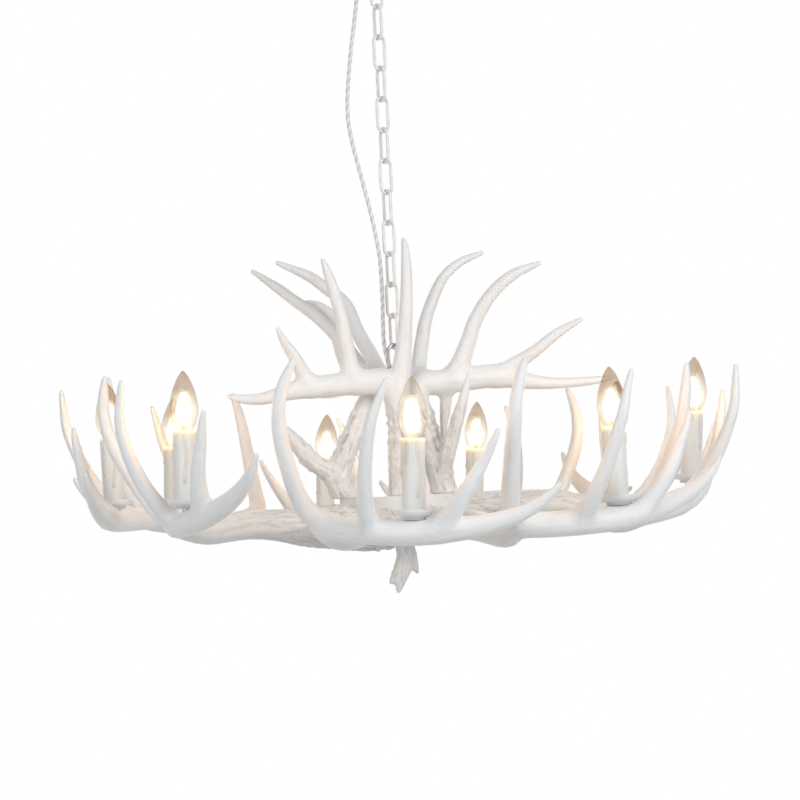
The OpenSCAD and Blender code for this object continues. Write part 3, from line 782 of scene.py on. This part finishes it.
def sleeve_material():
    """Ivory wax, with the bulb's light painted on toward the rim as a warmer, brighter tone and a
    glow, and painted shade on the steep sides of its runs.
    """
    m, nodes, links, out = new_material("candle_wax")
    height = attribute(nodes, "height")
    # Painted bulb light: the wax turns warmer and brighter toward the rim.
    tone = ramp(nodes, links, height, [
        (0.0, (0.78, 0.775, 0.755)), (0.80, (0.83, 0.82, 0.79)), (0.97, (0.95, 0.89, 0.74))])
    # Painted shade on the steep sides of the wax runs.
    run_side_shade = ramp(nodes, links, attribute(nodes, "run_side_shade"), [(0.25, WHITE), (0.9, (0.84, 0.81, 0.77))])
    # Painted bulb light: a glow on the wax just under the rim.
    glow = ramp(nodes, links, height, [
        (0.80, BLACK), (0.93, (0.10, 0.07, 0.03)), (1.0, (1.0, 0.86, 0.55))])
    b = principled(nodes, Roughness=0.38, Emission_Strength=0.55)
    links.new(multiplied(nodes, links, tone, run_side_shade), b.inputs["Base Color"])
    links.new(glow, b.inputs["Emission Color"])
    add_bump(nodes, links, b, object_noise(nodes, links, 60), 0.2, 0.0005)
    links.new(b.outputs["BSDF"], out)
    return m


def bulb_glass_material():
    """Thin clear glass, golden brown toward its tip and its rim. Only its outer face mirrors."""
    m, nodes, links, out = new_material("bulb_glass")
    tip = ramp(nodes, links, attribute(nodes, "height"), [
        (0.34, (1.0, 0.99, 0.97)), (0.54, (0.90, 0.845, 0.78)), (0.72, (0.79, 0.715, 0.64)),
        (1.0, (0.75, 0.665, 0.58))])
    facing = nodes.new("ShaderNodeLayerWeight")
    facing.inputs["Blend"].default_value = 0.35
    rim = ramp(nodes, links, facing.outputs["Facing"], [
        (0.25, WHITE), (0.55, (0.97, 0.93, 0.86)), (0.84, (0.84, 0.72, 0.55)),
        (1.0, (0.66, 0.50, 0.32))])
    wave = object_noise(nodes, links, 110, 2, 0.22)
    gold = ramp(nodes, links, wave, [(0.45, WHITE), (0.65, (0.96, 0.91, 0.83))])
    clear = nodes.new("ShaderNodeBsdfTransparent")
    tint = multiplied(nodes, links, multiplied(nodes, links, tip, rim), gold)
    links.new(tint, clear.inputs["Color"])
    shine = nodes.new("ShaderNodeBsdfGlossy")
    shine.inputs["Roughness"].default_value = 0.05
    inner = nodes.new("ShaderNodeNewGeometry").outputs["Backfacing"]
    outer = math_node(nodes, links, "SUBTRACT", 1.0, inner)
    share = math_node(nodes, links, "MULTIPLY", facing.outputs["Fresnel"], outer)
    links.new(mixed_shader(nodes, links, share, clear, shine), out)
    return m


def glow_material(name, colour, strength, centre, ragged):
    """The bright haze round a lit filament, gone at its edge. Its density in the middle is centre,
    and ragged is the share of it that is left in the gaps between its wisps."""
    m, nodes, links, out = new_material(name)
    facing = nodes.new("ShaderNodeLayerWeight")
    facing.inputs["Blend"].default_value = 0.5
    falloff = ((0.0, 1.0), (0.30, 0.72), (0.62, 0.26), (0.92, 0.0))
    amount = ramp(nodes, links, facing.outputs["Facing"],
                  [(at, (share * centre,) * 3) for at, share in falloff])
    wisps = object_noise(nodes, links, 150, 2, 0.3)
    gaps = ramp(nodes, links, wisps, [(0.36, (ragged,) * 3), (0.56, WHITE)])
    clear = nodes.new("ShaderNodeBsdfTransparent")
    shine = nodes.new("ShaderNodeEmission")
    shine.inputs["Color"].default_value = (*colour, 1)
    shine.inputs["Strength"].default_value = strength
    density = multiplied(nodes, links, amount, gaps)
    links.new(mixed_shader(nodes, links, density, clear, shine), out)
    return m


def filament_material():
    """A glowing wire, a little uneven along its length."""
    m, nodes, links, out = new_material("filament")
    spots = object_noise(nodes, links, 500, 2)
    tone = ramp(nodes, links, spots, [(0.2, (1.0, 0.62, 0.24)), (0.7, (1.0, 0.88, 0.60))])
    e = nodes.new("ShaderNodeEmission")
    e.inputs["Strength"].default_value = 9.0
    links.new(tone, e.inputs["Color"])
    links.new(e.outputs[0], out)
    return m


def cord_material():
    """Clear sleeve over two silvery strands laid round each other, with painted shade in the
    hollows between them.
    """
    m, nodes, links, out = new_material("clear_flex")
    # Painted shade: darkest in the hollow between the strands, lightest on their crests.
    tone = ramp(nodes, links, attribute(nodes, "lay"), [
        (0.0, (0.58, 0.575, 0.61)), (0.30, (0.70, 0.695, 0.73)), (0.6, (0.77, 0.765, 0.80)),
        (1.0, (0.82, 0.815, 0.84))])
    b = principled(nodes, Roughness=0.22)
    links.new(tone, b.inputs["Base Color"])
    links.new(b.outputs["BSDF"], out)
    return m


ANTLER = antler_material()
WAX = sleeve_material()
GLASS = bulb_glass_material()
HAZE = glow_material("bulb_haze", (1.0, 0.87, 0.66), 1.3, 0.55, 0.3)
CORE = glow_material("bulb_core", (1.0, 0.97, 0.90), 2.2, 1.0, 0.45)
SPARK = glow_material("bulb_spark", (1.0, 0.60, 0.22), 1.2, 1.0, 0.7)
FILAMENT = filament_material()
CORD = cord_material()
PAINT = speckled("white_paint", (0.76, 0.77, 0.78), (0.83, 0.835, 0.84), 0.38, 45)
CHAIN_PAINT = speckled("chain_paint", (0.78, 0.785, 0.79), (0.88, 0.88, 0.88), 0.28, 120, bump=0.3)
STEEL = speckled("zinc_steel", (0.42, 0.43, 0.45), (0.56, 0.57, 0.59), 0.32, 90, metallic=0.9)
BRASS = speckled("lamp_brass", (0.52, 0.40, 0.20), (0.64, 0.50, 0.27), 0.3, 160, metallic=0.9)
PLASTIC = speckled("insulator", (0.72, 0.71, 0.68), (0.79, 0.78, 0.75), 0.5, 70)

# The solids' own surfaces, by the slot that the record gives them
SLOT_MATERIAL = {
    "antler_resin": ANTLER, "white_paint": PAINT, "zinc_steel": STEEL, "insulator": PLASTIC,
    "clear_flex": CORD, "holder_plastic": PLASTIC, "candle_ivory": PLASTIC, "bulb_glass": GLASS,
}
slot_of = {s["node"]: s["material_slot"] for s in frame["record"]["subparts"]}
for name, node in frame["nodes"].items():
    node.data.materials.clear()
    node.data.materials.append(SLOT_MATERIAL[slot_of[name]])

# The flex

CORD_R = 2.75
CORD_HOLLOW = 0.45
CORD_LAY = 24.0  # the length of one full turn of the strands
CORD_SIDES = 16
CORD_STEP = 1.6


def add_cord():
    """The clear flex, with the hollows between its two strands running round it."""
    route = smooth(CORD_ROUTE, 10)
    length = np.concatenate([[0], np.cumsum(np.linalg.norm(np.diff(route, axis=0), axis=1))])
    s = np.linspace(0, length[-1], int(length[-1] / CORD_STEP))
    path = np.stack([np.interp(s, length, route[:, k]) for k in range(3)], axis=1)
    a = 2 * math.pi * np.arange(CORD_SIDES) / CORD_SIDES
    phase = 2 * (a[None, :] - 2 * math.pi * s[:, None] / CORD_LAY)
    radius = CORD_R - CORD_HOLLOW * (0.5 - 0.5 * np.cos(phase)) ** 2
    radius[0] = radius[-1] = CORD_R - 0.15
    verts, faces = sweep(path, radius, CORD_SIDES)
    # 1 on a strand's crest and 0 in the hollow between strands, where the material paints shade.
    lay = (0.5 + 0.5 * np.cos(phase)).reshape(-1)
    cord = mesh_object("flex", verts, faces, "hanging", CORD, ["power_cord"],
                       {"lay": lay})


add_cord()

# The antlers in place

# Room for the solids that an antler meets, given as antler_mesh takes its cylinders. A lamp's two
# start after the place and the lean, which are the lamp's own.
DRUM_CUT = ((0, 0, DRUM_BOTTOM), 0, 0, LID_TOP + 40 - DRUM_BOTTOM, DRUM_R)
STEM_CUT = ((0, 0, DRUM_BOTTOM), 0, -40, 1, 15)
LID_CUT = ((0, 0, LID_TOP), 0, -30, 0, DRUM_R + 20)
COLLAR_CUT = ((0, 0, CROWN_Z), 0, -18, 18, 16)
FINIAL_CUT = ((0, 0, DRUM_BOTTOM), 0, -19, 20, 6.6)
SEAT_CUT = (-12, 28, 17)
PAN_CUT = (-8.8, 12, 23.65)
CROWN_SEED = 12
FINIAL_SEED = 17


def add_antler(name, spines, cuts, roughness, seed, node):
    verts, quads, attributes = antler_mesh(spines, cuts, roughness, seed)
    mesh_object(name, verts, quads, "hanging", ANTLER, [node], attributes)


def raised(spines, z):
    """Spines that are listed over height z."""
    return [[(q[0], q[1], q[2] + z, q[3]) for q in s] for s in spines]


for i in range(9):
    spines = [trunk(i) + [on_ring(i, q) for q in BEAM]]
    spines += [[on_ring(i, q) for q in t] for t in (TINE_LONG, TINE_MIDDLE, TINE_SHORT)]
    lamp_cuts = [(lamp_place(i), LEAN[i], *cut) for cut in (SEAT_CUT, PAN_CUT)]
    add_antler(f"antler_ring_{i + 1}", spines, [DRUM_CUT, STEM_CUT, *lamp_cuts],
               ring_roughness, i + 1, f"ring_antler_{i + 1}")
for k, side in enumerate(CROWN):
    add_antler(f"antler_crown_{side}", raised(CROWN[side], CROWN_Z), [LID_CUT, COLLAR_CUT],
               crown_roughness, k + CROWN_SEED, f"crown_antler_{side}")
add_antler("antler_finial", raised(FINIAL, DRUM_BOTTOM), [FINIAL_CUT], finial_roughness,
           FINIAL_SEED, "finial")

# The lamps

SLEEVE_R = 14.25
SLEEVE_H = 83
PAN_FLOOR = -4.5
SEAT = -12
BULB_TIP = SLEEVE_H + 72
BULB_FOOT = BULB_TIP - 74
BULB_OUTLINE = [
    (7.2, BULB_FOOT), (10.5, BULB_TIP - 70), (15, BULB_TIP - 62), (17.5, BULB_TIP - 51),
    (17.2, BULB_TIP - 40), (15, BULB_TIP - 28), (11.2, BULB_TIP - 17), (6.6, BULB_TIP - 7),
    (2.9, BULB_TIP - 2), (1.2, BULB_TIP),
]
BASE_PROFILE = [(0.0, 54), (3, 54), (6.9, 57), (6.9, 78.5)]
STEM_OUTLINE = [(4.8, 79), (3.2, 83), (2.4, 91), (2.2, 97), (0.0, 100)]
# How brown each bulb's glass is, and each glow's name, half width, lowest and highest point
BULB_TAN = [0.50, 1, 1, 1, 1, 1, 1, 1, 1]
GLOWS = [("haze", 14.2, 82, 134, HAZE), ("core", 10.2, 88, 130, CORE)]
FILAMENT_FOOT, FILAMENT_RISE, FILAMENT_HALF = 100, 15, 5.0
FILAMENT_WIRE = 0.35
LAMP_SEED = 40


def sleeve_mesh(rng):
    """A candle tube with runs of wax down its outside and a rolled, uneven rim. Returns how steep
    the wax is at each vertex as well, which the material darkens as painted shade."""
    columns = 72
    wall = np.linspace(PAN_FLOOR, SLEEVE_H - 3, 56)
    heights = np.concatenate([wall, np.linspace(SLEEVE_H - 2.4, SLEEVE_H, 5)])
    a = 2 * math.pi * np.arange(columns) / columns
    outer = np.full((len(heights), columns), SLEEVE_R - 0.35)
    count = rng.randint(4, 7)
    for k in range(count):
        centre = 2 * math.pi * (k + rng.uniform(-0.3, 0.3)) / count
        end = SLEEVE_H - rng.uniform(14, 72)
        width = rng.uniform(1.0, 1.7)
        off = (a - centre + math.pi) % (2 * math.pi) - math.pi
        wander = 0.10 * np.sin(heights / 9 + centre * 3)
        sideways = (off[None, :] - wander[:, None]) * SLEEVE_R / width
        bead = np.exp(-((heights - end - 2) / 2.6) ** 2)
        run = np.clip((heights - end) / 3, 0, 1)
        outer += ((0.8 * run + 0.8 * bead)[:, None]) * np.exp(-sideways ** 2)
    steep = np.abs(np.gradient(outer, axis=1)) + np.abs(np.gradient(outer, axis=0)) * 0.5
    lip = np.exp(-((heights - SLEEVE_H + 2) / 1.6) ** 2)
    outer += 0.7 * lip[:, None] * (1 + 0.5 * np.sin(3 * a + rng.uniform(0, 6)))[None, :]
    outer = np.minimum(outer, SLEEVE_R + 1.6)
    outer[-1] -= 0.7
    inner = np.full((3, columns), SLEEVE_R - 1.3)
    radius = np.concatenate([outer, inner])
    level = np.concatenate([heights, [SLEEVE_H - 0.4, SLEEVE_H - 8, SLEEVE_H - 30]])
    level = np.repeat(level[:, None], columns, axis=1)
    verts = np.stack([radius * np.cos(a), radius * np.sin(a), level], axis=2)
    run_side_shade = np.concatenate([np.clip(steep * 2.2, 0, 1), np.zeros((3, columns))])
    return verts.reshape(-1, 3), ring_faces(len(level), columns), run_side_shade.reshape(-1)


def pan_profile():
    """The drip pan: a stem that stands in the antler's seat, and a shallow dish with a rim."""
    rim = 23.25
    return [
        (0.0, SEAT), (SLEEVE_R, SEAT), (SLEEVE_R, -8.5), (rim - 3.5, -7.5), (rim - 0.8, -5),
        (rim - 0.1, -2), (rim, -0.6), (rim - 0.6, 0), (rim - 1.2, -0.5), (rim - 2.2, -3.4),
        (rim - 4.2, PAN_FLOOR), (0.0, PAN_FLOOR),
    ]


def glow_mesh(i, half_width, low, high):
    """An egg of light, made ragged so that no two bulbs look alike."""
    a = np.linspace(0, math.pi, 25)
    radius = half_width * np.sin(a) ** 0.8 * (1 + 0.22 * np.cos(a))
    radius[0] = radius[-1] = 0
    level = (low + high) / 2 - (high - low) / 2 * np.cos(a)
    verts, faces = lathe(list(zip(radius, level)), 32)
    verts[:, :2] *= (0.72 + 0.56 * noise(verts * (0.16, 0.16, 0.09) + 11.0 * i))[:, None]
    return verts, faces


def filament_mesh(i):
    """A wavy arch of wire, turned a different way in each bulb."""
    t = np.linspace(0, 1, 60)
    arch = np.stack([FILAMENT_HALF * np.cos(math.pi * t), 0.8 * np.sin(14 * math.pi * t),
                     FILAMENT_FOOT + FILAMENT_RISE * np.sin(math.pi * t)], axis=1)
    verts, faces = sweep(arch, np.full(len(arch), FILAMENT_WIRE), 8)
    return turned(verts, RING_ANGLE[i] * math.pi / 180 + 0.6 * i), faces


def add_lamp(i):
    """Lamp i: its sleeve and pan, and the bulb that lifts out of it."""
    label = i + 1
    verts, faces, run_side_shade = sleeve_mesh(np.random.RandomState(LAMP_SEED + i))
    height = np.clip(verts[:, 2] / SLEEVE_H, 0, 1)
    mesh_object(f"sleeve_{label}", at_lamp(i, verts), faces, "hanging", WAX, ["candle_sleeves"],
                {"height": height, "run_side_shade": run_side_shade})
    verts, faces = lathe(pan_profile(), 64)
    mesh_object(f"pan_{label}", at_lamp(i, verts), faces, "hanging", PAINT, ["drip_pans"])
    body, solid = f"bulb_body_{label}", [f"bulb_{label}"]
    verts, faces = lathe(BASE_PROFILE, 32)
    mesh_object(f"bulb_base_{label}", at_lamp(i, verts), faces, body, BRASS, solid)

    def add_lit(name, mesh, material, replaced=(), attributes=None):
        """A part of the lit bulb. It casts no shadow, so that the bulb's light gets out."""
        obj = mesh_object(f"{name}_{label}", at_lamp(i, mesh[0]), mesh[1], body, material,
                          replaced, attributes)
        obj.visible_shadow = False

    outline = [tuple(q) for q in smooth(BULB_OUTLINE, 5)]
    glass = lathe([(6.0, 78)] + outline + [(0.0, BULB_TIP)], 40)
    brown = BULB_TAN[i] * np.clip((glass[0][:, 2] - BULB_FOOT) / (BULB_TIP - BULB_FOOT), 0, 1)
    add_lit("bulb_glass", glass, GLASS, solid, {"height": brown})
    for name, half_width, low, high, material in GLOWS:
        add_lit(f"bulb_{name}", glow_mesh(i, half_width, low, high), material)
    stem = [tuple(q) for q in smooth(STEM_OUTLINE, 3)]
    add_lit("bulb_stem", lathe(stem, 20), SPARK)
    add_lit("filament", filament_mesh(i), FILAMENT)


for i in range(9):
    add_lamp(i)

# The chain

# The first link's turn about Z, the links' pitch and the first one's inner top, then a link's inner
# length, inner width and wire
CHAIN_TURN = 33
LINK_PITCH = 42
FIRST_TOP = -48.2
LINK_IN, LINK_GAP, LINK_WIRE = 42.3, 12.6, 4.2
ARC_STEPS = 18
WELD_AT = ARC_STEPS + 3
WELD_HEIGHT = 0.28


def link_path(turn, top):
    """The centreline of a link whose inner top is at height top."""
    r = (LINK_GAP + LINK_WIRE) / 2
    high, low = top - LINK_GAP / 2, top - LINK_IN + LINK_GAP / 2
    arc = np.linspace(0, math.pi, ARC_STEPS)
    legs = np.linspace(high, low, 9)[1:-1]
    p = np.concatenate([
        np.stack([r * np.cos(arc), 0 * arc, high + r * np.sin(arc)], axis=1),
        np.stack([-r + 0 * legs, 0 * legs, legs], axis=1),
        np.stack([-r * np.cos(arc), 0 * arc, low - r * np.sin(arc)], axis=1),
        np.stack([r + 0 * legs, 0 * legs, legs[::-1]], axis=1),
    ])
    return turned(p, math.radians(turn))


def closed_sweep(path, radius, sides):
    """A tube round a closed flat loop."""
    heading = np.roll(path, -1, axis=0) - np.roll(path, 1, axis=0)
    heading /= np.linalg.norm(heading, axis=1)[:, None]
    normal = np.cross(path[len(path) // 4] - path[0], path[len(path) // 2] - path[0])
    normal /= np.linalg.norm(normal)
    verts = ring_verts(path, radius, np.cross(heading, normal),
                       np.broadcast_to(normal, path.shape), sides)
    return verts, ring_faces(len(path), sides, closed=True, turned_over=True)


def add_link(k):
    """Link k, a quarter turn from the one above, with its weld on one leg."""
    path = link_path(CHAIN_TURN + 90 * (k % 2), FIRST_TOP - k * LINK_PITCH)
    off_weld = np.arange(len(path)) - WELD_AT
    radius = LINK_WIRE / 2 + WELD_HEIGHT * np.exp(-(off_weld / 0.8) ** 2)
    verts, faces = closed_sweep(path, radius, 14)
    body = "link_1" if k == 0 else "hanging"
    mesh_object(f"link_{k + 1}", verts, faces, body, CHAIN_PAINT, [f"chain_link_{k + 1:02d}"])


for k in range(12):
    add_link(k)

# Floor, background and light

FLOOR_R = 5.0
FLOOR_Z = -2.4
COOL_WHITE = (0.95, 0.98, 1.0)


def seen_directly(nodes, links):
    """1 on rays from the camera, a mirror or glass, and 0 on the rays that light the object."""
    path = nodes.new("ShaderNodeLightPath")
    total = path.outputs["Is Camera Ray"]
    for kind in ("Is Glossy Ray", "Is Transmission Ray"):
        total = math_node(nodes, links, "MAXIMUM", total, path.outputs[kind])
    return total


def add_stage():
    """A pale floor that fades into the white background toward its edge."""
    corners = 64
    angles = [2 * math.pi * k / corners for k in range(corners)]
    ring = [(FLOOR_R * math.cos(a), FLOOR_R * math.sin(a), FLOOR_Z) for a in angles]
    mesh = bpy.data.meshes.new("floor")
    mesh.from_pydata(ring, [], [list(range(corners))])
    floor = bpy.data.objects.new("floor", mesh)
    scene.collection.objects.link(floor)
    m, nodes, links, out = new_material("pale_floor")
    flat = nodes.new("ShaderNodeVectorMath")
    flat.operation = "MULTIPLY"
    flat.inputs[1].default_value = (1, 1, 0)
    links.new(nodes.new("ShaderNodeTexCoord").outputs["Object"], flat.inputs[0])
    far = nodes.new("ShaderNodeVectorMath")
    far.operation = "LENGTH"
    links.new(flat.outputs[0], far.inputs[0])
    fade = map_range(nodes, links, far.outputs["Value"], From_Min=1.2, From_Max=4.7, To_Min=0.78,
                     To_Max=1.0)
    share = math_node(nodes, links, "MULTIPLY", fade, seen_directly(nodes, links))
    pale = principled(nodes, Roughness=0.9, Base_Color=(0.86, 0.86, 0.86, 1))
    white = nodes.new("ShaderNodeEmission")
    links.new(mixed_shader(nodes, links, share, pale, white), out)
    mesh.materials.append(m)


def add_world():
    """White where it is seen, and a soft light from all round that is stronger from above."""
    world = bpy.data.worlds.new("studio")
    scene.world = world
    world.use_nodes = True
    nodes, links = world.node_tree.nodes, world.node_tree.links
    nodes.clear()
    seen = nodes.new("ShaderNodeBackground")
    seen.inputs["Color"].default_value = (*WHITE, 1)
    fill = nodes.new("ShaderNodeBackground")
    fill.inputs["Color"].default_value = (1.0, 0.98, 0.95, 1)
    split = nodes.new("ShaderNodeSeparateXYZ")
    links.new(nodes.new("ShaderNodeTexCoord").outputs["Generated"], split.inputs[0])
    level = map_range(nodes, links, split.outputs["Z"], From_Min=-1.0, To_Min=0.12, To_Max=0.35)
    links.new(level, fill.inputs["Strength"])
    out = nodes.new("ShaderNodeOutputWorld").inputs["Surface"]
    links.new(mixed_shader(nodes, links, seen_directly(nodes, links), fill, seen), out)


def area_light(name, place, target, size, power, colour):
    """A square lamp in metres and watts, turned toward its target."""
    data = bpy.data.lights.new(name, "AREA")
    data.shape = "SQUARE"
    data.size = size
    data.energy = power
    data.color = colour
    obj = bpy.data.objects.new(name, data)
    obj.location = place
    obj.rotation_euler = (Vector(target) - Vector(place)).to_track_quat("-Z", "Y").to_euler()
    scene.collection.objects.link(obj)


def bulb_light(i):
    data = bpy.data.lights.new(f"bulb_light_{i + 1}", "POINT")
    data.energy = 0.20
    data.color = (1.0, 0.48, 0.08)
    data.shadow_soft_size = 0.010
    obj = bpy.data.objects.new(f"bulb_light_{i + 1}", data)
    obj.location = tuple(at_lamp(i, (0, 0, FILAMENT_FOOT + 6)) * MM)
    scene.collection.objects.link(obj)


add_stage()
add_world()
area_light("key", (1.9, -2.0, 0.2), (0.1, 0, -0.68), 1.8, 41, COOL_WHITE)
area_light("fill", (-1.6, -2.4, 0.0), (-0.1, 0, -0.68), 1.8, 29, COOL_WHITE)
area_light("rear", (-0.5, 3.0, 0.5), (0, 0, -0.68), 2.0, 14, WHITE)
for i in range(9):
    bulb_light(i)
